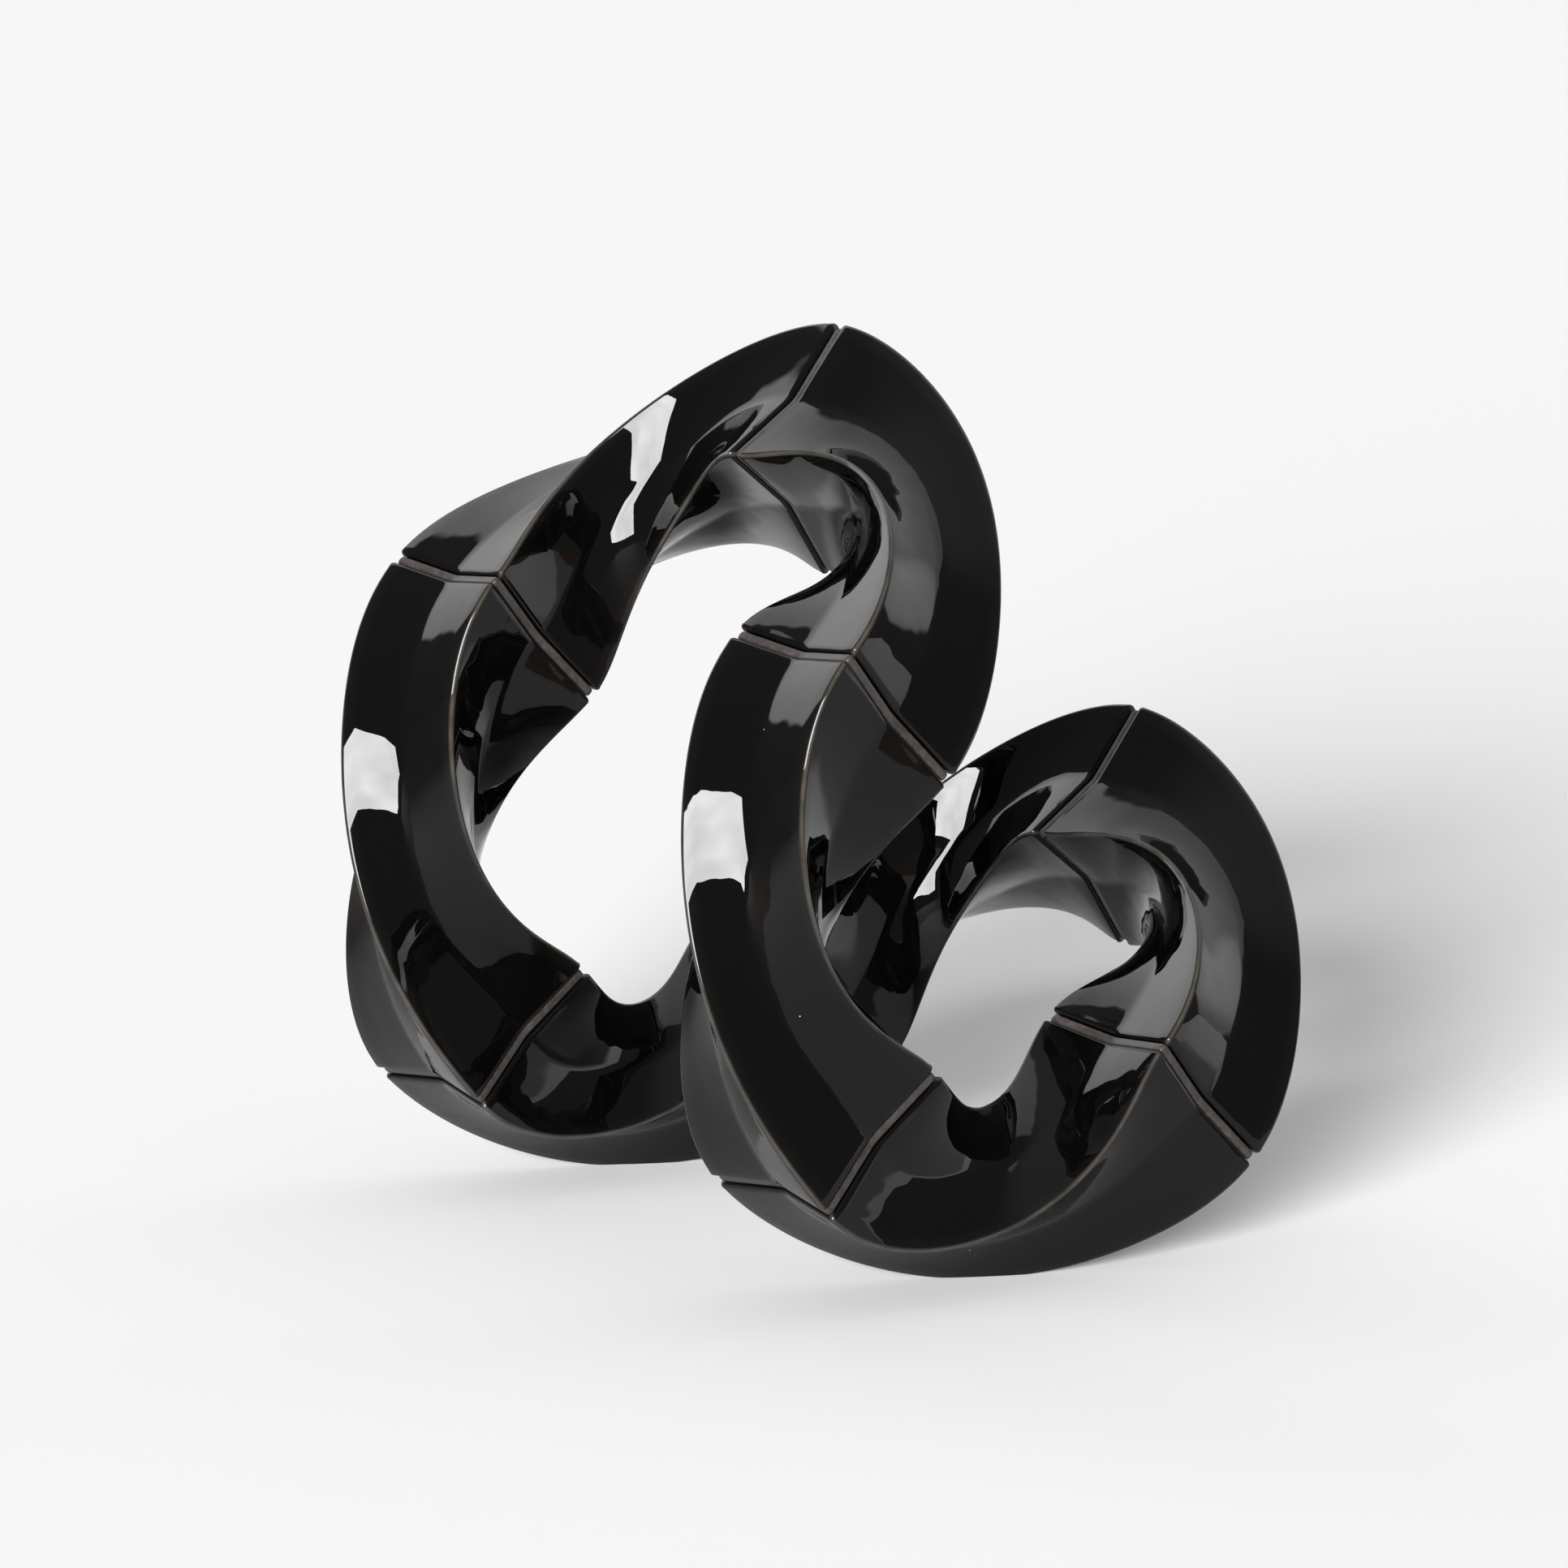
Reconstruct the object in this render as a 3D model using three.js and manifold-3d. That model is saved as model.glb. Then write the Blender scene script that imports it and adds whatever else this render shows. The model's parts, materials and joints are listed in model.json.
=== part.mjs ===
// Twisty snake puzzle: eight equal twisted links on seven friction swivels, coiled so that head meets tail.
//
// Every link is a hollow square tube that bends through a quarter circle while its section makes a
// quarter turn, so its four ridges run diagonally across the faces of a plain square bend. Two
// neighbours are held together by a swivel: a plate in each mouth, a spacer that shows as the thin
// band in the joint, and a shouldered pin with a disc spring and a nut. The two loose ends carry a
// blank cap with a magnet behind it.
//
// Units are millimetres, +Z is up, and the origin is under the middle of the puzzle on the table.

import * as THREE from 'three';
import { mergeVertices } from 'three/addons/utils/BufferGeometryUtils.js';
import Module from 'manifold-3d';

const wasm = await Module();
wasm.setup();

// Link
const BEND_RADIUS = 40;
const HALF_SIDE = 12.6;
const VALLEY_DEPTH = 2.0;
const RIDGE_BLUNT = 0.4;
const CAVITY_SCALE = 0.72;
const STEPS = 13;

// Puzzle as it stands: how far each swivel is turned, from the tail to the head
const SWIVEL_TURNS = [0, -90, 0, 90, 0, -90, 0];
const STANDING_LINKS = [1, 6];
const LINK_COUNT = SWIVEL_TURNS.length + 1;
const FLAT_DEPTH = 0.8;

// Swivel, measured along its axis from the middle of the joint
const HALF_GAP = 0.8;
const SPACER_THICKNESS = 1.0;
const SPACER_SCALE = 0.92;
const PLATE_THICKNESS = 2.0;
const PLATE_SCALE = 0.67;
const CLEARANCE = 0.3;
const PIN_RADIUS = 2.2;
const PIN_HEAD_RADIUS = 4.2;
const PIN_HEAD_THICKNESS = 1.6;
const SPRING_THICKNESS = 0.6;
const SPRING_RISE = 0.5;
const SPRING_RADIUS = 4.6;
const NUT_THICKNESS = 2.2;
const NUT_RADIUS = 4.4;
const PIN_TIP = 0.8;
const ROUND_SIDES = 16;

// Loose ends: their gap is wide enough for either end link to swing past the other
const HALF_END_GAP = 1.15;
const MAGNET_RADIUS = 4;
const MAGNET_THICKNESS = 3;
const MAGNET_PROUD = 0.5;

const HOLE_RADIUS = PIN_RADIUS + CLEARANCE;
const QUARTER = Math.PI / 2;

const MATERIALS = {
  shell: new THREE.MeshStandardMaterial({ color: 0x070707, roughness: 0.06, metalness: 0 }),
  spacer: new THREE.MeshStandardMaterial({ color: 0x4a423f, roughness: 0.6, metalness: 0 }),
  plate: new THREE.MeshStandardMaterial({ color: 0x1a1a1a, roughness: 0.5, metalness: 0 }),
  pin: new THREE.MeshStandardMaterial({ color: 0xb9bbbd, roughness: 0.35, metalness: 1 }),
  spring: new THREE.MeshStandardMaterial({ color: 0x8f9296, roughness: 0.3, metalness: 1 }),
  nut: new THREE.MeshStandardMaterial({ color: 0xb08d4a, roughness: 0.35, metalness: 1 }),
  magnet: new THREE.MeshStandardMaterial({ color: 0xd0d2d4, roughness: 0.2, metalness: 1 }),
};

function namedMesh(name, geometry, material) {
  const mesh = new THREE.Mesh(geometry, material);
  mesh.name = name;
  return mesh;
}

// ---- Section of a link ----

// The four ridge points at turn angle phi (-45 to 45 degrees), as (outward, sideways) offsets.
function ridgePoints(phi) {
  const reach = HALF_SIDE / Math.cos(phi);
  return [0, 1, 2, 3].map((k) => new THREE.Vector2(reach, 0).rotateAround(new THREE.Vector2(), phi + k * QUARTER));
}

// Closed outline: each ridge is blunted by a narrow flat, and each side falls to a valley in its middle.
function sectionOutline(phi, scale = 1, blunt = RIDGE_BLUNT) {
  const ridges = ridgePoints(phi);
  const valleyScale = (HALF_SIDE - VALLEY_DEPTH) / HALF_SIDE;
  const valleys = ridges.map((ridge, k) =>
    ridge.clone().add(ridges[(k + 1) % 4]).multiplyScalar(valleyScale / 2));
  const outline = [];
  ridges.forEach((ridge, k) => {
    for (const valley of [valleys[(k + 3) % 4], valleys[k]]) {
      outline.push(ridge.clone().add(valley.clone().sub(ridge).setLength(blunt)));
    }
    outline.push(valleys[k]);
  });
  return outline.map((point) => point.clone().multiplyScalar(scale));
}

// ---- Link shell ----

// Ring number step of the outer or inner wall. The section turns slowly at both ends and fastest in
// the middle, and each end ring is moved back from its joint's middle plane by half the gap there.
function wallRing(step, scale, gaps) {
  const s = step / STEPS;
  const bend = s * QUARTER;
  const phi = -QUARTER / 2 + QUARTER * s * s * (3 - 2 * s);
  const setBack = new THREE.Vector3();
  if (step === 0) setBack.x = gaps.tail;
  if (step === STEPS) setBack.y = -gaps.head;
  return sectionOutline(phi, scale).map((point) => {
    const radius = BEND_RADIUS + point.x;
    const place = new THREE.Vector3(radius * Math.sin(bend), BEND_RADIUS - radius * Math.cos(bend), point.y);
    return place.add(setBack);
  });
}

// A closed skin over a loop of rings: out along the outer wall and back along the inner one.
function shellGeometry(gaps) {
  const steps = Array.from({ length: STEPS + 1 }, (_, i) => i);
  const rings = [
    ...steps.map((step) => wallRing(step, 1, gaps)),
    ...steps.reverse().map((step) => wallRing(step, CAVITY_SCALE, gaps)),
  ];
  const around = rings[0].length;
  const index = [];
  rings.forEach((_, i) => {
    const next = (i + 1) % rings.length;
    for (let j = 0; j < around; j++) {
      const k = (j + 1) % around;
      const [a, b, c, d] = [i * around + j, i * around + k, next * around + k, next * around + j];
      index.push(a, c, b, a, d, c);
    }
  });
  const geometry = new THREE.BufferGeometry().setFromPoints(rings.flat());
  geometry.setIndex(index);
  return geometry;
}

// ---- Booleans ----

function toManifold(geometry) {
  const bare = geometry.clone();
  bare.deleteAttribute('normal');
  bare.deleteAttribute('uv');
  const merged = mergeVertices(bare, 1e-5);
  const vertProperties = new Float32Array(merged.attributes.position.array);
  const triVerts = new Uint32Array(merged.index.array);
  return new wasm.Manifold(new wasm.Mesh({ numProp: 3, vertProperties, triVerts }));
}

function fromManifold(solid) {
  const { vertProperties, triVerts } = solid.getMesh();
  const geometry = new THREE.BufferGeometry();
  geometry.setAttribute('position', new THREE.BufferAttribute(vertProperties, 3));
  geometry.setIndex(new THREE.BufferAttribute(triVerts, 1));
  return geometry;
}

// A link that stands on the table has a narrow flat ground across the middle of its outer ridge,
// its depth measured from the sharp ridge line.
function standingShellGeometry(gaps) {
  const outside = BEND_RADIUS + HALF_SIDE;
  const grinder = new THREE.BoxGeometry(outside, outside, outside);
  grinder.translate(0, -1.5 * outside + FLAT_DEPTH, 0);
  grinder.rotateZ(QUARTER / 2);
  grinder.translate(0, BEND_RADIUS, 0);
  return fromManifold(toManifold(shellGeometry(gaps)).subtract(toManifold(grinder)));
}

// ---- Swivel pieces, along +Z from the middle of the joint ----

function holePath(radius) {
  const points = new THREE.Path().absarc(0, 0, radius, 0, 2 * Math.PI, true).getPoints(ROUND_SIDES);
  return new THREE.Path(points.slice(0, -1));
}

function slabGeometry(outline, thickness, bottom, holeRadius = 0) {
  const shape = new THREE.Shape(outline);
  if (holeRadius > 0) shape.holes.push(holePath(holeRadius));
  const geometry = new THREE.ExtrudeGeometry(shape, { depth: thickness, bevelEnabled: false, curveSegments: ROUND_SIDES });
  return geometry.translate(0, 0, bottom);
}

function mouthOutline(scale) {
  return sectionOutline(-QUARTER / 2, scale);
}

// A lathe turns about +Y, so it is laid along +Z.
function turnedGeometry(profile) {
  const points = profile.map(([radius, height]) => new THREE.Vector2(radius, height));
  return new THREE.LatheGeometry(points, ROUND_SIDES).rotateX(QUARTER);
}

const PLATE_INNER = HALF_GAP + PLATE_THICKNESS;
const STACK_START = PLATE_INNER + CLEARANCE;
const SPRING_END = STACK_START + SPRING_THICKNESS + SPRING_RISE;
const NUT_START = SPRING_END + CLEARANCE;
const PIN_END = NUT_START + NUT_THICKNESS + PIN_TIP;

function spacerGeometry() {
  return slabGeometry(mouthOutline(SPACER_SCALE), SPACER_THICKNESS, -SPACER_THICKNESS / 2, HOLE_RADIUS);
}

function plateGeometry(bottom) {
  return slabGeometry(mouthOutline(PLATE_SCALE), PLATE_THICKNESS, bottom, HOLE_RADIUS);
}

function pinGeometry() {
  return turnedGeometry([
    [0, -STACK_START - PIN_HEAD_THICKNESS],
    [PIN_HEAD_RADIUS, -STACK_START - PIN_HEAD_THICKNESS],
    [PIN_HEAD_RADIUS, -STACK_START],
    [PIN_RADIUS, -STACK_START],
    [PIN_RADIUS, PIN_END - PIN_TIP / 2],
    [PIN_RADIUS - PIN_TIP / 2, PIN_END],
    [0, PIN_END],
  ]);
}

function discSpringGeometry() {
  return turnedGeometry([
    [HOLE_RADIUS, STACK_START + SPRING_RISE],
    [SPRING_RADIUS, STACK_START],
    [SPRING_RADIUS, STACK_START + SPRING_THICKNESS],
    [HOLE_RADIUS, SPRING_END],
    [HOLE_RADIUS, STACK_START + SPRING_RISE],
  ]);
}

function nutGeometry() {
  const corners = Array.from({ length: 6 }, (_, k) =>
    new THREE.Vector2(NUT_RADIUS, 0).rotateAround(new THREE.Vector2(), (k * Math.PI) / 3));
  return slabGeometry(corners, NUT_THICKNESS, NUT_START, HOLE_RADIUS);
}

function makeSwivel(name) {
  const swivel = new THREE.Group();
  swivel.add(
    namedMesh(`${name}_tail_plate`, plateGeometry(-PLATE_INNER), MATERIALS.plate),
    namedMesh(`${name}_head_plate`, plateGeometry(HALF_GAP), MATERIALS.plate),
    namedMesh(`${name}_spacer`, spacerGeometry(), MATERIALS.spacer),
    namedMesh(`${name}_pin`, pinGeometry(), MATERIALS.pin),
    namedMesh(`${name}_disc_spring`, discSpringGeometry(), MATERIALS.spring),
    namedMesh(`${name}_nut`, nutGeometry(), MATERIALS.nut),
  );
  return swivel;
}

// ---- Loose ends, where head and tail meet ----

function makeLooseEnd(name) {
  const end = new THREE.Group();
  const cap = slabGeometry(mouthOutline(PLATE_SCALE), PLATE_THICKNESS, HALF_END_GAP, MAGNET_RADIUS + CLEARANCE);
  const magnet = new THREE.CylinderGeometry(MAGNET_RADIUS, MAGNET_RADIUS, MAGNET_THICKNESS, ROUND_SIDES);
  magnet.rotateX(QUARTER);
  magnet.translate(0, 0, HALF_END_GAP - MAGNET_PROUD + MAGNET_THICKNESS / 2);
  end.add(
    namedMesh(`${name}_cap`, cap, MATERIALS.plate),
    namedMesh(`${name}_magnet`, magnet, MATERIALS.magnet),
  );
  return end;
}

// ---- Assembly: walk along the chain from tail to head ----

// A joint's own frame has +Z along the chain and +X towards the centre of the bend.
const JOINT_TURN = new THREE.Matrix4().makeBasis(
  new THREE.Vector3(0, 1, 0), new THREE.Vector3(0, 0, 1), new THREE.Vector3(1, 0, 0));

function place(object, matrix) {
  object.applyMatrix4(matrix);
  return object;
}

function makeLink(number) {
  const gaps = { tail: HALF_GAP, head: HALF_GAP };
  if (number === 1) gaps.tail = HALF_END_GAP;
  if (number === LINK_COUNT) gaps.head = HALF_END_GAP;
  const standing = STANDING_LINKS.includes(number);
  const geometry = standing ? standingShellGeometry(gaps) : shellGeometry(gaps);
  return namedMesh(`link_${number}_shell`, geometry, MATERIALS.shell);
}

function assembleChain() {
  const chain = new THREE.Group();
  const frame = new THREE.Matrix4();
  chain.add(place(makeLooseEnd('tail'), JOINT_TURN));
  for (let number = 1; number <= LINK_COUNT; number++) {
    const last = number === LINK_COUNT;
    chain.add(place(makeLink(number), frame));
    frame.multiply(new THREE.Matrix4().makeTranslation(BEND_RADIUS, BEND_RADIUS, 0));
    frame.multiply(new THREE.Matrix4().makeRotationZ(QUARTER));
    const turn = last ? 0 : THREE.MathUtils.degToRad(SWIVEL_TURNS[number - 1]);
    frame.multiply(new THREE.Matrix4().makeRotationX(turn));
    const joint = last ? makeLooseEnd('head').rotateX(Math.PI) : makeSwivel(`swivel_${number}`);
    chain.add(place(joint, frame.clone().multiply(JOINT_TURN)));
  }
  return chain;
}

// Stand the chain on its two ground flats, centred over the origin.
function standOnTable(chain) {
  const across = new THREE.Vector3(-1, 0, 0);
  const start = new THREE.Vector3(0, -1, -1).normalize();
  const inward = new THREE.Vector3(0, -1, 1).normalize();
  chain.setRotationFromMatrix(new THREE.Matrix4().makeBasis(start, inward, across));
  const box = new THREE.Box3().setFromObject(chain, true);
  const middle = box.getCenter(new THREE.Vector3());
  chain.position.set(-middle.x, -middle.y, -box.min.z);
  return chain;
}

const puzzle = new THREE.Group();
puzzle.add(standOnTable(assembleChain()));

export default puzzle;
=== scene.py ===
"""Twisty snake puzzle: eight glossy black twisted links, coiled into a closed double ring."""
import json
import math

import bmesh
import bpy
import numpy as np
from mathutils import Matrix, Vector


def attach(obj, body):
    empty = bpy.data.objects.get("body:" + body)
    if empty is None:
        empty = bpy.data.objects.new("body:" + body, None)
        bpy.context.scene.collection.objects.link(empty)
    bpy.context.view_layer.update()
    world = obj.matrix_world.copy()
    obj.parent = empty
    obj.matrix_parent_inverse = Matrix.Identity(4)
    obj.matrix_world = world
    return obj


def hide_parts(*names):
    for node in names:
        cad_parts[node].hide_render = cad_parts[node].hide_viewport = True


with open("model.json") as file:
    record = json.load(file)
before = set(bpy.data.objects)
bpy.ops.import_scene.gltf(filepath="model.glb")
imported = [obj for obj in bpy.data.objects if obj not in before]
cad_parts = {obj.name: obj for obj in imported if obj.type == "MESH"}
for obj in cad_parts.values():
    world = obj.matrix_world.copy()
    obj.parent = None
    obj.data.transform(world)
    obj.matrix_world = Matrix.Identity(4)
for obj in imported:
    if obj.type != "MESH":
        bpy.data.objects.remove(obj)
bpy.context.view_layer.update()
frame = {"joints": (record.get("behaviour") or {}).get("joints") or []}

# ---- Driving sizes, in metres, the same as the CAD part's ----
BEND_RADIUS = 0.040
HALF_SIDE = 0.0126
VALLEY_DEPTH = 0.0020
CAVITY_SCALE = 0.72
HALF_GAP = 0.0008
HALF_END_GAP = 0.00115
PLATE_SCALE = 0.67
PLATE_THICKNESS = 0.0020
CLEARANCE = 0.0003
PIN_RADIUS = 0.0022
PIN_HEAD_RADIUS = 0.0042
PIN_HEAD_THICKNESS = 0.0016
SPRING_THICKNESS = 0.0006
SPRING_RISE = 0.0005
SPRING_RADIUS = 0.0046
NUT_THICKNESS = 0.0022
NUT_RADIUS = 0.0044
PIN_TIP = 0.0008
MAGNET_RADIUS = 0.0040
MAGNET_THICKNESS = 0.0030
MAGNET_PROUD = 0.0005
SWIVEL_TURNS = (0, -90, 0, 90, 0, -90, 0)
LINK_COUNT = len(SWIVEL_TURNS) + 1
STANDING_LINKS = (1, 6)

HOLE_RADIUS = PIN_RADIUS + CLEARANCE
PLATE_INNER = HALF_GAP + PLATE_THICKNESS
STACK_START = PLATE_INNER + CLEARANCE
NUT_START = STACK_START + SPRING_THICKNESS + SPRING_RISE + CLEARANCE
PIN_END = NUT_START + NUT_THICKNESS + PIN_TIP

# ---- How finely the pieces are drawn: roundings, points and steps of the fine surface ----
RIDGE_RADIUS = 0.0006
VALLEY_RADIUS = 0.0060
EDGE_RADIUS = 0.0006
RIDGE_POINTS = 7
VALLEY_POINTS = 7
FLANK_POINTS = 4
LONG_STEPS = 72
EDGE_STEPS = 5
CAVITY_STEPS = 16
# Width of the ridge mark: the glaze's brown edge break and a painted highlight
EDGE_BREAK_AND_HIGHLIGHT_WIDTH = 0.0004
BAND_HALF_WIDTH = 0.00065
BAND_INSET = 0.00045
BAND_CROWN = 0.00012
BAND_POINTS = 9
SMALL_CHAMFER = 0.00025
DOME_STEPS = 6
DOME_FACE_SHARE = 0.7
DOME_DEPTH_SHARE = 0.5
TURNED_SIDES = 72
SHARP_ANGLE = 35
WELD = 1e-7

# ---- Camera, from the middle of the puzzle; bearings are counted from +X towards +Y ----
VIEW_BEARING = -37.533
VIEW_ELEVATION = 9.154
VIEW_ROLL = 2.14
VIEW_DISTANCE = 0.9714
AIM_OFFSET = (-0.00452, -0.00327, 0.00943)
LENS = 160.2
SENSOR = 36

# ---- Stage: bearings and elevations in degrees, distances in metres, radiances with white paper near 1 ----
FLOOR_REACH = 8.0
SHEET_EDGE_BEARING = -45
SHEET_EDGE_DISTANCE = 0.21
SHEET_EDGE_SOFTNESS = 0.006
SHEET_SIDE_BEARING = -150
SHEET_SIDE_FADE = (0.08, 0.24)
SHEET_NEAR_FADE = (-0.08, 0.10)
SHEET_BRIGHT_BEARING = 126
SHEET_BRIGHT_FADE = (0.06, 0.10)
TABLE_STRIP = 0.05
BACKDROP_BEARING = 141
BACKDROP_HALF_WIDTH = 63
BACKDROP_SQUARE_BEARING = 125
BACKDROP_TOP_SLOPE = 2.1
BACKDROP_GLOW = 0.5
BACKDROP_TOP_FADE = (-0.04, 0.06)
BACKDROP_SIDE_FADE = 1
BACKDROP_BRIGHT_SPOTS = (  # bearing, elevation, outer and inner angle, extra glow
    (200, 22, 42, 12, 1.0),
    (88, 12, 14, 6, 0.5),
)
CEILING_GLOW = (0.11, 0.26)
CEILING_ANGLES = (45, 15)
WINDOW = (-72, 18)
WINDOW_DISTANCE = 1.5
WINDOW_SIDE = 0.86
WINDOW_POWER = 42
WINDOW_CLOUD_SCALE = 1.6
WINDOW_CLOUD = (0.82, 1.1)
KEY_SUN = (-54, 11)
KEY_SUN_ANGLE = 19
KEY_SUN_STRENGTH = 10.6
FILL_SUN_ANGLE = 120
FILL_SUN_STRENGTH = 0.27

# ---- Colours, linear; noise and cells are counted per metre, bumps are in metres ----
GLAZE_DARK, GLAZE_LIGHT = (0.0004, 0.0005, 0.0007), (0.0014, 0.0013, 0.0012)
# Next: the brown where the glaze breaks on the ridges, made lighter and paler to paint the ridges' highlight
# as well
GLAZE_BREAK_AND_HIGHLIGHT = (0.13, 0.112, 0.094)
GLAZE_ROUGHNESS = (0.01, 0.03)
WORN_ROUGHNESS = 0.14
SPECK_COLOUR = (0.5, 0.48, 0.45)
SPECK_ROUGHNESS = 0.5
SPECK_CELLS = 130
SPECK_RADIUS = 0.0001
SWELL_SCALE, SWELL_HEIGHT = 40, 0.0010
WAVE_SCALE, WAVE_HEIGHT = 160, 0.00009
# Spacer tones: darkened well below the spacer's own grey-brown, as painted shade of the groove between the
# links
BAND_DARK, BAND_LIGHT, BAND_DUST = (0.014, 0.012, 0.011), (0.026, 0.022, 0.020), (0.040, 0.035, 0.033)
MOULDING_DARK, MOULDING_LIGHT = (0.016, 0.016, 0.017), (0.035, 0.034, 0.033)
STEEL_DARK, STEEL_LIGHT = (0.42, 0.42, 0.43), (0.66, 0.66, 0.67)
BLUED_DARK, BLUED_LIGHT = (0.16, 0.18, 0.24), (0.34, 0.33, 0.36)
BRASS_DARK, BRASS_LIGHT = (0.60, 0.42, 0.17), (0.78, 0.60, 0.30)
NICKEL_DARK, NICKEL_LIGHT = (0.60, 0.59, 0.57), (0.76, 0.75, 0.74)
PAPER = (0.9, 0.9, 0.9)
# Floor colours seen only in the glaze, as painted light and shade: a painted bright pool behind the puzzle,
# painted shade in front and at the side, and darker past the sheet's edges
SHEET_DIM, SHEET_NEAR, SHEET_BRIGHT = (0.42, 0.42, 0.43), (0.54, 0.54, 0.55), (0.97, 0.97, 0.98)
TABLE_BROWN, TABLE_FAR, DIM_ROOM_SHADE = (0.19, 0.12, 0.075), (0.12, 0.11, 0.105), (0.13, 0.12, 0.115)


# ---- Section of a link ----

def ridge_polygon(phi):
    """Ridge and valley corners in turn, as (outward, sideways), at turn angle phi from -45 to 45 degrees."""
    angles = phi + np.arange(4) * math.pi / 2
    ridges = HALF_SIDE / math.cos(phi) * np.column_stack([np.cos(angles), np.sin(angles)])
    valleys = (ridges + np.roll(ridges, -1, 0)) / 2 * (1 - VALLEY_DEPTH / HALF_SIDE)
    return np.stack([ridges, valleys], 1).reshape(8, 2)


def rounded_corner(before, corner, after, radius, count):
    """Points of an arc of that radius that touches both sides of a corner."""
    back = (before - corner) / np.linalg.norm(before - corner)
    ahead = (after - corner) / np.linalg.norm(after - corner)
    half = math.acos(np.clip(back @ ahead, -1, 1)) / 2
    middle = (back + ahead) / np.linalg.norm(back + ahead)
    centre = corner + middle * radius / math.sin(half)
    side = back - (back @ middle) * middle
    side /= np.linalg.norm(side)
    swing = np.linspace(1, -1, count)[:, None] * (math.pi / 2 - half)
    return centre + radius * (np.sin(swing) * side - np.cos(swing) * middle)


def section_outline(phi):
    """Outline of the section with round ridges and soft valleys, and how far each point is from a ridge."""
    corners = ridge_polygon(phi)
    runs = []
    for i in range(8):
        radius, count = ((RIDGE_RADIUS, RIDGE_POINTS), (VALLEY_RADIUS, VALLEY_POINTS))[i % 2]
        runs.append(rounded_corner(corners[i - 1], corners[i], corners[(i + 1) % 8], radius, count))
    points = []
    for i in range(8):
        points.append(runs[i])
        start, end = runs[i][-1], runs[(i + 1) % 8][0]
        share = np.linspace(0, 1, FLANK_POINTS + 2)[1:-1, None]
        points.append(start + (end - start) * share)
    outline = np.concatenate(points)
    away = np.min([np.linalg.norm(outline - corners[k], axis=1) for k in range(0, 8, 2)], axis=0)
    return outline, away


# ---- One link, in its own frame: it starts along +X and bends towards +Y ----

def turn_angle(s):
    """Turn of the section at share s of the way: slow at both ends, fastest in the middle."""
    return -math.pi / 4 + math.pi / 2 * s * s * (3 - 2 * s)


def wall_ring(s, scale, set_back):
    """Points of the outline at share s, scaled about the centre line and moved back from the joint."""
    outline, away = section_outline(turn_angle(s))
    bend = s * math.pi / 2
    radius = BEND_RADIUS + outline[:, 0] * scale
    across, sideways = BEND_RADIUS - radius * math.cos(bend), outline[:, 1] * scale
    ring = np.column_stack([radius * math.sin(bend), across, sideways])
    return ring + np.array([set_back[0], -set_back[1], 0]), away


def end_rings(s, gap):
    """Rings of a rounded edge, from the skin round to the flat end face. They lie at the start or the end."""
    rings = []
    for swing in np.linspace(0, math.pi / 2, EDGE_STEPS):
        along = gap + EDGE_RADIUS * (1 - math.sin(swing))
        scale = 1 - EDGE_RADIUS * (1 - math.cos(swing)) / HALF_SIDE
        rings.append(wall_ring(s, scale, (along, 0) if s == 0 else (0, along)))
    return rings


def link_rings(gap_start, gap_end):
    """All rings of a link's closed skin: out along the outside, back along the cavity."""
    wall = [wall_ring(s, 1, (0, 0)) for s in np.linspace(0, 1, LONG_STEPS + 1)[2:-2]]
    cavity = [wall_ring(s, CAVITY_SCALE, (0, 0)) for s in np.linspace(1, 0, CAVITY_STEPS + 1)[1:-1]]
    mouth_end = wall_ring(1, CAVITY_SCALE, (0, gap_end))
    mouth_start = wall_ring(0, CAVITY_SCALE, (gap_start, 0))
    outside = end_rings(0, gap_start)[::-1] + wall + end_rings(1, gap_end)
    return outside + [mouth_end] + cavity + [mouth_start]


def skin(rings):
    """Vertices and faces of a closed skin over a loop of rings with equally many points."""
    around, count = len(rings[0]), len(rings)
    faces = []
    for i in range(count):
        for j in range(around):
            here, there, k = i * around, (i + 1) % count * around, (j + 1) % around
            faces.append((here + j, there + j, there + k, here + k))
    return np.concatenate(rings), faces


def link_arrays(gap_start, gap_end):
    """Vertices, faces and the ridge weight of a link, for the glaze's edge break and its painted highlight.
    """
    rings = link_rings(gap_start, gap_end)
    vertices, faces = skin([ring for ring, _ in rings])
    ridge = np.concatenate([np.exp(-(away / EDGE_BREAK_AND_HIGHLIGHT_WIDTH) ** 2) for _, away in rings])
    return vertices, faces, ridge


# ---- Swivel pieces, in the frame of the link that follows: +X along the chain, x = 0 in the joint ----

def round_ring(radius, along):
    """Points round the swivel's axis, at one radius or at one radius for each point."""
    angles = np.arange(TURNED_SIDES) * 2 * math.pi / TURNED_SIDES
    reach = radius * np.ones(TURNED_SIDES)
    return np.column_stack([np.full(TURNED_SIDES, along), -reach * np.cos(angles), reach * np.sin(angles)])


def turned(profile):
    """A body of revolution from its profile of (radius, along) pairs."""
    return skin([round_ring(radius, along) for radius, along in profile])


def mouth_slab(profile, hole_radius):
    """A slab of the mouth's outline, whose rim follows (scale, along) pairs, with a round hole."""
    rim = [wall_ring(0, scale, (along, 0))[0] for scale, along in profile]
    around = np.arctan2(rim[0][:, 2], -rim[0][:, 1])
    hole = []
    for along in (profile[-1][1], profile[0][1]):
        across, sideways = -hole_radius * np.cos(around), hole_radius * np.sin(around)
        hole.append(np.column_stack([np.full(len(around), along), across, sideways]))
    return skin(rim + hole)


def band_arrays():
    """The spacer: its rim is crowned and set a little into the groove."""
    profile = []
    for share in np.linspace(-1, 1, BAND_POINTS):
        drop = BAND_CROWN * share ** 2 + (SMALL_CHAMFER if abs(share) == 1 else 0)
        profile.append((1 - (BAND_INSET + drop) / HALF_SIDE, share * BAND_HALF_WIDTH))
    return mouth_slab(profile, HOLE_RADIUS)


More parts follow.
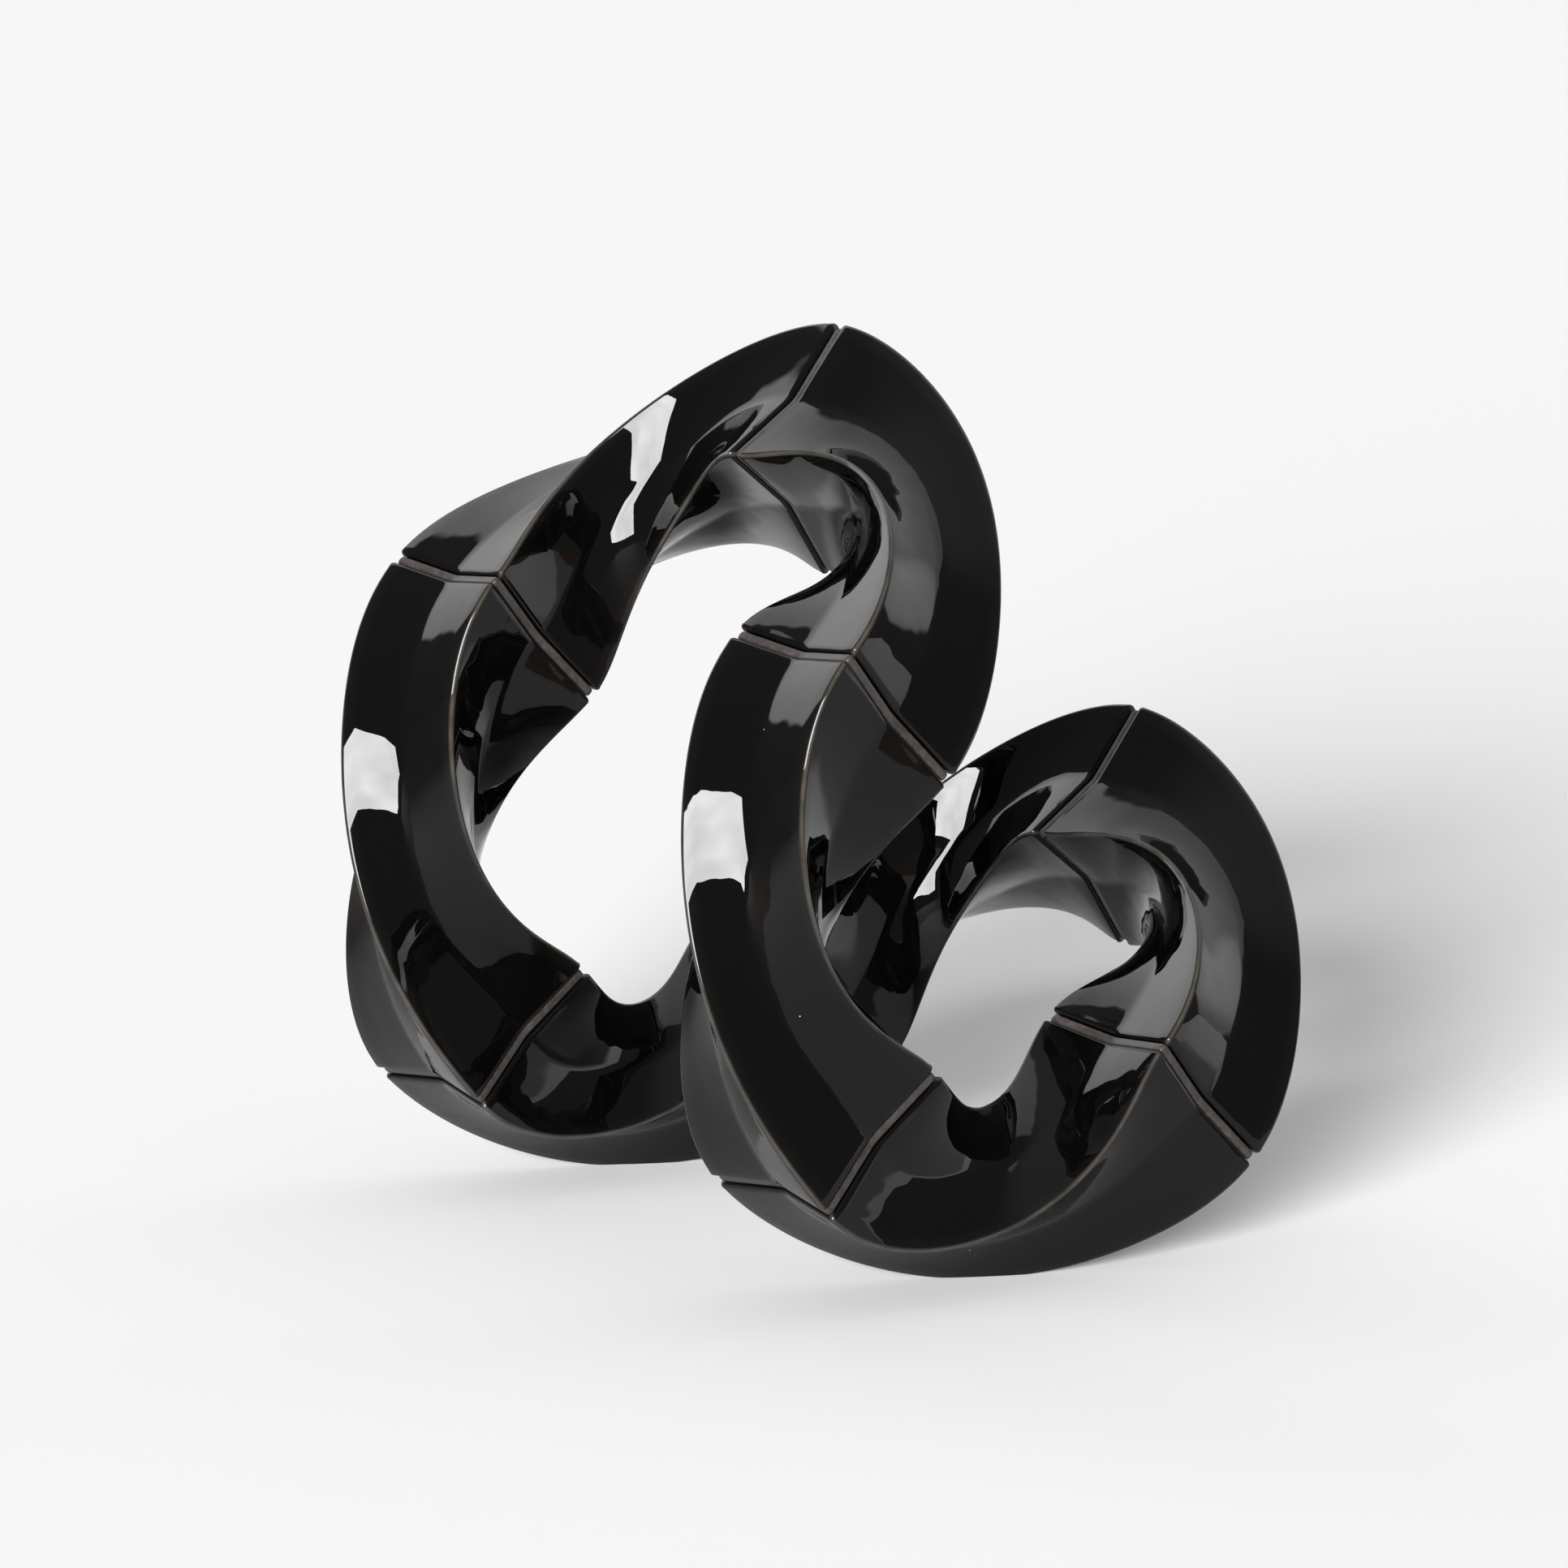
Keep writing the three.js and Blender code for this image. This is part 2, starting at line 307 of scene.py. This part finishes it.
def plate_arrays(start, hole_radius):
    """A plate that closes a mouth, with chamfered edges, from start to start + PLATE_THICKNESS."""
    narrow = PLATE_SCALE - SMALL_CHAMFER / HALF_SIDE
    end = start + PLATE_THICKNESS
    rim = [(PLATE_SCALE, start + SMALL_CHAMFER), (PLATE_SCALE, end - SMALL_CHAMFER)]
    return mouth_slab([(narrow, start), *rim, (narrow, end)], hole_radius)


def pin_arrays():
    """Shouldered pin with a domed head and a chamfered tip."""
    under = -STACK_START
    profile = [(0, under - PIN_HEAD_THICKNESS)]
    for swing in np.linspace(0, math.pi / 2, DOME_STEPS + 1)[1:]:
        reach = DOME_FACE_SHARE + (1 - DOME_FACE_SHARE) * math.sin(swing)
        depth = 1 - DOME_DEPTH_SHARE + DOME_DEPTH_SHARE * math.cos(swing)
        profile.append((PIN_HEAD_RADIUS * reach, under - PIN_HEAD_THICKNESS * depth))
    profile += [(PIN_HEAD_RADIUS, under), (PIN_RADIUS, under), (PIN_RADIUS, PIN_END - PIN_TIP / 2)]
    profile += [(PIN_RADIUS - PIN_TIP / 2, PIN_END), (0, PIN_END)]
    return turned(profile)


def spring_arrays():
    """Disc spring: a cone of flat strip round the pin, its outer rim towards the plate."""
    low, high = STACK_START, STACK_START + SPRING_RISE
    corners = [(HOLE_RADIUS, high), (SPRING_RADIUS, low), (SPRING_RADIUS, low + SPRING_THICKNESS)]
    return turned(corners + [(HOLE_RADIUS, high + SPRING_THICKNESS)])


def nut_arrays():
    """Hexagon nut: the round chamfer at both ends cuts its six corners."""
    flat = NUT_RADIUS * math.cos(math.pi / 6)
    angles = np.arange(TURNED_SIDES) * 2 * math.pi / TURNED_SIDES
    hexagon = flat / np.cos((angles + math.pi / 6) % (math.pi / 3) - math.pi / 6)
    end = NUT_START + NUT_THICKNESS
    drop = NUT_RADIUS - flat
    rings = [round_ring(HOLE_RADIUS, end), round_ring(HOLE_RADIUS, NUT_START)]
    corners = ((NUT_START + drop / 2, NUT_RADIUS), (end - drop / 2, NUT_RADIUS))
    for along, cap in ((NUT_START, flat), *corners, (end, flat)):
        rings.append(round_ring(np.minimum(hexagon, cap), along))
    return skin(rings)


def magnet_arrays():
    """Disc magnet that stands a little proud of its cap."""
    start = HALF_END_GAP - MAGNET_PROUD
    end = start + MAGNET_THICKNESS
    inner = MAGNET_RADIUS - SMALL_CHAMFER
    profile = [(0, start), (inner, start), (MAGNET_RADIUS, start + SMALL_CHAMFER)]
    return turned(profile + [(MAGNET_RADIUS, end - SMALL_CHAMFER), (inner, end), (0, end)])


# ---- Where the links are: the CAD chain walked with the same turns, hung on the first swivel ----

def link_frames():
    """The frame in which each link starts, tail first, and last the frame in which the head ends."""
    slope = math.sqrt(0.5)
    pose = Matrix(((0, 0, -1, 0), (-slope, -slope, 0, 0), (-slope, slope, 0, 0), (0, 0, 0, 1)))
    step = Matrix.Translation((BEND_RADIUS, BEND_RADIUS, 0)) @ Matrix.Rotation(math.pi / 2, 4, "Z")
    poses = []
    for turn in (*SWIVEL_TURNS, 0, 0):
        poses.append(pose.copy())
        pose = pose @ step @ Matrix.Rotation(math.radians(turn), 4, "X")
    first = next(joint for joint in frame["joints"] if joint["name"] == "swivel_1")
    shift = Matrix.Translation(Vector(first["pos_m"]) - poses[1].translation)
    return [shift @ pose for pose in poses]


def puzzle_centre():
    """Middle of the puzzle, half way between two swivels on opposite sides."""
    places = {joint["name"]: Vector(joint["pos_m"]) for joint in frame["joints"]}
    return (places["swivel_2"] + places["swivel_6"]) / 2


# ---- Directions ----

def toward(azimuth, elevation):
    """Unit vector at a bearing in degrees, counted from +X towards +Y, and an elevation in degrees."""
    a, e = math.radians(azimuth), math.radians(elevation)
    return Vector((math.cos(a) * math.cos(e), math.sin(a) * math.cos(e), math.sin(e)))


def cosine(degrees):
    return math.cos(math.radians(degrees))


# ---- Material helpers ----

def new_material(name, roughness, metallic=0.0):
    """A principled material with its output wired: returns (material, nodes, links, shader)."""
    material = bpy.data.materials.new(name)
    material.use_nodes = True
    tree = material.node_tree
    shader = tree.nodes["Principled BSDF"]
    shader.inputs["Roughness"].default_value = roughness
    shader.inputs["Metallic"].default_value = metallic
    return material, tree.nodes, tree.links, shader


def noise(nodes, links, scale, detail=3.0, rough=0.5, stretch=(1, 1, 1)):
    """A noise texture in the object's own coordinates, features about 1 / scale metres apart."""
    place = nodes.new("ShaderNodeTexCoord")
    spread = nodes.new("ShaderNodeMapping")
    spread.inputs["Scale"].default_value = stretch
    texture = nodes.new("ShaderNodeTexNoise")
    texture.inputs["Scale"].default_value = scale
    texture.inputs["Detail"].default_value = detail
    texture.inputs["Roughness"].default_value = rough
    links.new(place.outputs["Object"], spread.inputs["Vector"])
    links.new(spread.outputs["Vector"], texture.inputs["Vector"])
    return texture.outputs["Fac"]


def ramp(nodes, links, value, low, high, to_low=0.0, to_high=1.0):
    """Maps value from low..high to to_low..to_high with soft ends."""
    node = nodes.new("ShaderNodeMapRange")
    node.interpolation_type = "SMOOTHSTEP"
    for name, number in (("From Min", low), ("From Max", high), ("To Min", to_low), ("To Max", to_high)):
        node.inputs[name].default_value = number
    links.new(value, node.inputs["Value"])
    return node.outputs["Result"]


def maths(nodes, links, operation, *values):
    """A maths node whose values are numbers or sockets."""
    node = nodes.new("ShaderNodeMath")
    node.operation = operation
    for socket, value in zip(node.inputs, values):
        if isinstance(value, (int, float)):
            socket.default_value = value
        else:
            links.new(value, socket)
    return node.outputs[0]


def mix_colour(nodes, links, share, first, second):
    """Goes from first to second as share goes from 0 to 1; each is a colour or a socket."""
    node = nodes.new("ShaderNodeMix")
    node.data_type = "RGBA"
    links.new(share, node.inputs["Factor"])
    for socket, value in ((node.inputs[6], first), (node.inputs[7], second)):
        if isinstance(value, tuple):
            socket.default_value = (*value, 1)
        else:
            links.new(value, socket)
    return node.outputs[2]


def cosine_to(nodes, links, direction, way):
    """How far a place or a direction reaches along a bearing and elevation."""
    node = nodes.new("ShaderNodeVectorMath")
    node.operation = "DOT_PRODUCT"
    node.inputs[1].default_value = toward(*way)
    links.new(direction, node.inputs[0])
    return node.outputs["Value"]


def bump(nodes, links, height, distance, before=None):
    """Raises the surface by up to distance metres, over a bump that came before."""
    node = nodes.new("ShaderNodeBump")
    node.inputs["Distance"].default_value = distance
    links.new(height, node.inputs["Height"])
    if before is not None:
        links.new(before, node.inputs["Normal"])
    return node.outputs["Normal"]


# ---- Materials ----

def dust_specks(nodes, links):
    """1 on the few round specks where the surface passes close to the heart of a cell, 0 elsewhere."""
    place = nodes.new("ShaderNodeTexCoord")
    cell = nodes.new("ShaderNodeTexVoronoi")
    cell.inputs["Scale"].default_value = SPECK_CELLS
    links.new(place.outputs["Object"], cell.inputs["Vector"])
    rim = SPECK_RADIUS * SPECK_CELLS
    return ramp(nodes, links, cell.outputs["Distance"], 0.7 * rim, rim, 1.0, 0.0)


def black_glaze():
    """Deep black gloss, slightly wavy, with dust specks, thinning to brown where it breaks on a ridge; that
    ridge colour is lightened to paint the ridge's highlight as well.
    """
    material, nodes, links, shader = new_material("black_glaze", 0.04)
    ridge = nodes.new("ShaderNodeAttribute")
    ridge.attribute_name = "ridge"
    patchy = ramp(nodes, links, noise(nodes, links, 220, 4), 0.25, 0.75, 0.5, 1.0)
    worn_and_highlight = maths(nodes, links, "MULTIPLY", ridge.outputs["Fac"], patchy)
    body = mix_colour(nodes, links, noise(nodes, links, 45, 5), GLAZE_DARK, GLAZE_LIGHT)
    # On the ridges: the glaze's brown break, lightened as a painted highlight
    glazed = mix_colour(nodes, links, worn_and_highlight, body, GLAZE_BREAK_AND_HIGHLIGHT)
    specks = dust_specks(nodes, links)
    links.new(mix_colour(nodes, links, specks, glazed, SPECK_COLOUR), shader.inputs["Base Color"])
    mottle = ramp(nodes, links, noise(nodes, links, 130, 5), 0.3, 0.8, *GLAZE_ROUGHNESS)
    satin = maths(nodes, links, "MULTIPLY_ADD", worn_and_highlight, WORN_ROUGHNESS, mottle)
    roughness = maths(nodes, links, "MULTIPLY_ADD", specks, SPECK_ROUGHNESS, satin)
    links.new(roughness, shader.inputs["Roughness"])
    swell = bump(nodes, links, noise(nodes, links, SWELL_SCALE, 0), SWELL_HEIGHT)
    waves = bump(nodes, links, noise(nodes, links, WAVE_SCALE, 1), WAVE_HEIGHT, swell)
    links.new(waves, shader.inputs["Normal"])
    return material


def seam_satin_painted_shade():
    """Satin grey-brown of the spacer rings, a little dusty, darkened well below their own tone as painted
    shade of the groove they sit in.
    """
    material, nodes, links, shader = new_material("seam_satin_painted_shade", 0.5)
    dust = ramp(nodes, links, noise(nodes, links, 900, 6, 0.7), 0.35, 0.75)
    # All three tones carry the painted shade of the groove
    cloud = mix_colour(nodes, links, noise(nodes, links, 120, 3), BAND_DARK, BAND_LIGHT)
    links.new(mix_colour(nodes, links, dust, cloud, BAND_DUST), shader.inputs["Base Color"])
    links.new(ramp(nodes, links, dust, 0, 1, 0.32, 0.5), shader.inputs["Roughness"])
    links.new(bump(nodes, links, noise(nodes, links, 2500, 3), 0.00002), shader.inputs["Normal"])
    return material


def moulded_black():
    """Satin black moulding of the mouth plates and caps, finely textured."""
    material, nodes, links, shader = new_material("moulded_black", 0.45)
    cloud = mix_colour(nodes, links, noise(nodes, links, 300, 4), MOULDING_DARK, MOULDING_LIGHT)
    links.new(cloud, shader.inputs["Base Color"])
    grain = noise(nodes, links, 1500, 3)
    links.new(ramp(nodes, links, grain, 0.3, 0.7, 0.36, 0.55), shader.inputs["Roughness"])
    links.new(bump(nodes, links, noise(nodes, links, 4000, 2), 0.00002), shader.inputs["Normal"])
    return material


def worked_metal(name, dark, light, roughness, scratch_scale):
    """Bare metal of slightly uneven tone, with fine tool marks."""
    material, nodes, links, shader = new_material(name, roughness, 1.0)
    tone = noise(nodes, links, 400, 4)
    links.new(mix_colour(nodes, links, tone, dark, light), shader.inputs["Base Color"])
    marks = noise(nodes, links, scratch_scale, 2, 0.6, (1, 0.15, 0.15))
    uneven = ramp(nodes, links, marks, 0.3, 0.7, roughness * 0.7, roughness * 1.4)
    links.new(uneven, shader.inputs["Roughness"])
    links.new(bump(nodes, links, marks, 0.00001), shader.inputs["Normal"])
    return material


def painted_sheet_light_for_glaze(nodes, links):
    """Painted light and shade of the white sheet as the glaze mirrors it: a painted bright pool behind the
    puzzle, painted shade dimmer elsewhere, and ending a hand's width away on two sides, where a brown table
    and the dim room, in painted shade, start."""
    place = nodes.new("ShaderNodeTexCoord").outputs["Object"]
    ahead = cosine_to(nodes, links, place, (SHEET_EDGE_BEARING, 0))
    aside = cosine_to(nodes, links, place, (SHEET_SIDE_BEARING, 0))
    behind = cosine_to(nodes, links, place, (SHEET_BRIGHT_BEARING, 0))
    edge = SHEET_EDGE_DISTANCE
    near = mix_colour(nodes, links, ramp(nodes, links, aside, *SHEET_NEAR_FADE), SHEET_DIM, SHEET_NEAR)
    sheet = mix_colour(nodes, links, ramp(nodes, links, behind, *SHEET_BRIGHT_FADE), near, SHEET_BRIGHT)
    past_strip = ramp(nodes, links, ahead, edge + TABLE_STRIP, edge + 2 * TABLE_STRIP)
    table = mix_colour(nodes, links, past_strip, TABLE_BROWN, TABLE_FAR)
    past_edge = ramp(nodes, links, ahead, edge - SHEET_EDGE_SOFTNESS, edge + SHEET_EDGE_SOFTNESS)
    in_front = mix_colour(nodes, links, past_edge, sheet, table)
    return mix_colour(nodes, links, ramp(nodes, links, aside, *SHEET_SIDE_FADE), in_front, DIM_ROOM_SHADE)


def pale_floor():
    """White paper; rays that the glaze mirrors see a painted colour instead, with painted light and shade."""
    material, nodes, links, shader = new_material("pale_floor", 0.8)
    shader.inputs["Specular IOR Level"].default_value = 0.1
    painted_mirror_light = painted_sheet_light_for_glaze(nodes, links)
    glossy = nodes.new("ShaderNodeLightPath").outputs["Is Glossy Ray"]
    # The painted light and shade show only in what the glaze mirrors; the camera sees plain paper
    links.new(mix_colour(nodes, links, glossy, PAPER, painted_mirror_light), shader.inputs["Base Color"])
    return material


# ---- Pieces ----

def tidy_mesh(mesh, grind):
    """Welds the poles and turns the faces outward. Grinding cuts a standing link off at the table."""
    work = bmesh.new()
    work.from_mesh(mesh)
    bmesh.ops.remove_doubles(work, verts=work.verts, dist=WELD)
    bmesh.ops.delete(work, geom=[edge for edge in work.edges if not edge.link_faces], context="EDGES")
    if grind:
        everything = work.verts[:] + work.edges[:] + work.faces[:]
        table = {"plane_co": (0, 0, 0), "plane_no": (0, 0, 1)}
        cut = bmesh.ops.bisect_plane(work, geom=everything, clear_inner=True, **table)
        rim = [item for item in cut["geom_cut"] if isinstance(item, bmesh.types.BMEdge)]
        bmesh.ops.edgeloop_fill(work, edges=rim)
    bmesh.ops.recalc_face_normals(work, faces=work.faces)
    work.to_mesh(mesh)
    work.free()


def add_piece(name, arrays, pose, material, node, body, grind=False):
    """A smooth-shaded piece that replaces a CAD node: its vertices are in place, its object at the origin."""
    vertices, faces, *weights = arrays
    mesh = bpy.data.meshes.new(name)
    mesh.from_pydata([pose @ Vector(v) for v in vertices], [], faces)
    mesh.materials.append(material)
    if weights:
        mesh.attributes.new("ridge", "FLOAT", "POINT").data.foreach_set("value", weights[0])
    tidy_mesh(mesh, grind)
    mesh.shade_smooth()
    mesh.set_sharp_from_angle(angle=math.radians(SHARP_ANGLE))
    piece = bpy.data.objects.new(name, mesh)
    bpy.context.scene.collection.objects.link(piece)
    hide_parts(node)
    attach(piece, body)


def make_links(poses, glaze):
    """Eight links. The tail's first mouth and the head's last one have the wider gap."""
    for number in range(1, LINK_COUNT + 1):
        gap_start = HALF_END_GAP if number == 1 else HALF_GAP
        gap_end = HALF_END_GAP if number == LINK_COUNT else HALF_GAP
        add_piece(
            f"link_{number}_glazed",
            link_arrays(gap_start, gap_end),
            poses[number - 1],
            glaze,
            f"link_{number}_shell",
            f"link_{number}",
            grind=number in STANDING_LINKS,
        )


def make_swivels(poses, black):
    """Seven swivels. All of a swivel rides the link before it, apart from the plate in the link after it."""
    band = seam_satin_painted_shade()
    pin = worked_metal("turned_steel", STEEL_DARK, STEEL_LIGHT, 0.3, 900)
    spring = worked_metal("blued_spring", BLUED_DARK, BLUED_LIGHT, 0.25, 700)
    nut = worked_metal("machined_brass", BRASS_DARK, BRASS_LIGHT, 0.28, 900)
    shapes = (
        ("tail_plate", plate_arrays(-PLATE_INNER, HOLE_RADIUS), black, 0),
        ("head_plate", plate_arrays(HALF_GAP, HOLE_RADIUS), black, 1),
        ("spacer", band_arrays(), band, 0),
        ("pin", pin_arrays(), pin, 0),
        ("disc_spring", spring_arrays(), spring, 0),
        ("nut", nut_arrays(), nut, 0),
    )
    for number in range(1, LINK_COUNT):
        for part, arrays, material, ahead in shapes:
            node = f"swivel_{number}_{part}"
            add_piece(f"{node}_fine", arrays, poses[number], material, node, f"link_{number + ahead}")


def make_loose_ends(poses, black):
    """Tail and head each have a cap with a magnet in it. The head's pair is turned to look the other way."""
    nickel = worked_metal("magnet_nickel", NICKEL_DARK, NICKEL_LIGHT, 0.16, 600)
    cap = plate_arrays(HALF_END_GAP, MAGNET_RADIUS + CLEARANCE)
    turned_back = poses[LINK_COUNT] @ Matrix.Rotation(math.pi, 4, "Y")
    ends = (("tail", poses[0], "link_1"), ("head", turned_back, f"link_{LINK_COUNT}"))
    for end, pose, body in ends:
        add_piece(f"{end}_cap_fine", cap, pose, black, f"{end}_cap", body)
        add_piece(f"{end}_magnet_fine", magnet_arrays(), pose, nickel, f"{end}_magnet", body)


# ---- Stage ----

def make_floor():
    mesh = bpy.data.meshes.new("floor")
    corners = [(x * FLOOR_REACH, y * FLOOR_REACH, 0) for x, y in ((-1, -1), (1, -1), (1, 1), (-1, 1))]
    mesh.from_pydata(corners, [], [(0, 1, 2, 3)])
    mesh.materials.append(pale_floor())
    floor = bpy.data.objects.new("floor", mesh)
    bpy.context.scene.collection.objects.link(floor)


def add_lamp(name, kind, bearing, elevation, distance=1.0):
    """A lamp at that bearing and elevation from the puzzle, aimed at its middle."""
    lamp = bpy.data.objects.new(name, bpy.data.lights.new(name, kind))
    away = toward(bearing, elevation)
    pose = away.to_track_quat("Z", "Y").to_matrix().to_4x4()
    lamp.matrix_world = Matrix.Translation(puzzle_centre() + away * distance) @ pose
    bpy.context.scene.collection.objects.link(lamp)
    return lamp


def make_window():
    """The bright square window that the glaze mirrors, a little cloudy."""
    lamp = add_lamp("window", "AREA", *WINDOW, WINDOW_DISTANCE)
    lamp.data.shape = "SQUARE"
    lamp.data.size = WINDOW_SIDE
    lamp.data.energy = WINDOW_POWER
    lamp.visible_diffuse = False
    lamp.data.use_nodes = True
    nodes, links = lamp.data.node_tree.nodes, lamp.data.node_tree.links
    place = nodes.new("ShaderNodeNewGeometry")
    cloud = nodes.new("ShaderNodeTexNoise")
    cloud.inputs["Scale"].default_value = WINDOW_CLOUD_SCALE
    links.new(place.outputs["Parametric"], cloud.inputs["Vector"])
    strength = ramp(nodes, links, cloud.outputs["Fac"], 0.3, 0.7, *WINDOW_CLOUD)
    links.new(strength, nodes["Emission"].inputs["Strength"])


def make_suns():
    """Soft light that the glaze doesn't mirror: a low key from the window's side and an overhead fill."""
    for name, way, angle, strength in (
        ("key_sun", KEY_SUN, KEY_SUN_ANGLE, KEY_SUN_STRENGTH),
        ("fill_sun", (0, 90), FILL_SUN_ANGLE, FILL_SUN_STRENGTH),
    ):
        lamp = add_lamp(name, "SUN", *way)
        lamp.data.angle = math.radians(angle)
        lamp.data.energy = strength
        lamp.visible_glossy = False


def backdrop_share(nodes, links, way, height):
    """1 in the directions of the white backdrop, a level band of bearings with a sloping top, 0 elsewhere."""
    flat = nodes.new("ShaderNodeVectorMath")
    flat.operation = "MULTIPLY"
    flat.inputs[1].default_value = (1, 1, 0)
    level = nodes.new("ShaderNodeVectorMath")
    level.operation = "NORMALIZE"
    links.new(way, flat.inputs[0])
    links.new(flat.outputs[0], level.inputs[0])
    across = cosine_to(nodes, links, level.outputs[0], (BACKDROP_BEARING, 0))
    outer = cosine(BACKDROP_HALF_WIDTH + BACKDROP_SIDE_FADE)
    inner = cosine(BACKDROP_HALF_WIDTH - BACKDROP_SIDE_FADE)
    reach = cosine_to(nodes, links, way, (BACKDROP_SQUARE_BEARING, 0))
    top = maths(nodes, links, "MULTIPLY", reach, BACKDROP_TOP_SLOPE)
    below_top = ramp(nodes, links, maths(nodes, links, "SUBTRACT", top, height), *BACKDROP_TOP_FADE)
    return maths(nodes, links, "MULTIPLY", ramp(nodes, links, across, outer, inner), below_top)


def backdrop_glow(nodes, links, way):
    """Radiance of the backdrop: even, with brighter spots."""
    lit = BACKDROP_GLOW
    for bearing, elevation, outer, inner, extra in BACKDROP_BRIGHT_SPOTS:
        nearness = cosine_to(nodes, links, way, (bearing, elevation))
        spot = ramp(nodes, links, nearness, cosine(outer), cosine(inner))
        lit = maths(nodes, links, "MULTIPLY_ADD", spot, extra, lit)
    return lit


def make_world():
    """A dim studio with a white backdrop behind the puzzle; the camera itself sees plain white."""
    world = bpy.data.worlds.new("studio")
    bpy.context.scene.world = world
    world.use_nodes = True
    nodes, links = world.node_tree.nodes, world.node_tree.links
    way = nodes.new("ShaderNodeTexCoord").outputs["Generated"]
    split = nodes.new("ShaderNodeSeparateXYZ")
    links.new(way, split.inputs[0])
    height = split.outputs["Z"]
    backdrop = backdrop_share(nodes, links, way, height)
    low, high = (cosine(angle) for angle in CEILING_ANGLES)
    ceiling = ramp(nodes, links, height, low, high, *CEILING_GLOW)
    glow = maths(nodes, links, "MULTIPLY_ADD", backdrop, backdrop_glow(nodes, links, way), ceiling)
    strength = nodes.new("ShaderNodeMix")
    links.new(nodes.new("ShaderNodeLightPath").outputs["Is Camera Ray"], strength.inputs["Factor"])
    links.new(glow, strength.inputs[2])
    strength.inputs[3].default_value = 1.0
    links.new(strength.outputs[0], nodes["Background"].inputs["Strength"])
    nodes["Background"].inputs["Color"].default_value = (1, 1, 1, 1)


def make_camera():
    """The camera looks at the puzzle from far off, with a long lens."""
    camera = bpy.data.objects.new("camera", bpy.data.cameras.new("camera"))
    bpy.context.scene.collection.objects.link(camera)
    camera.data.lens = LENS
    camera.data.sensor_width = SENSOR
    back = toward(VIEW_BEARING, VIEW_ELEVATION)
    pose = Matrix.Translation(puzzle_centre() + Vector(AIM_OFFSET) + back * VIEW_DISTANCE)
    pose @= back.to_track_quat("Z", "Y").to_matrix().to_4x4()
    camera.matrix_world = pose @ Matrix.Rotation(math.radians(VIEW_ROLL), 4, "Z")
    bpy.context.scene.camera = camera


def main():
    make_camera()
    poses = link_frames()
    black = moulded_black()
    make_links(poses, black_glaze())
    make_swivels(poses, black)
    make_loose_ends(poses, black)
    make_floor()
    make_world()
    make_window()
    make_suns()
    bpy.context.scene.view_settings.view_transform = "Standard"


main()
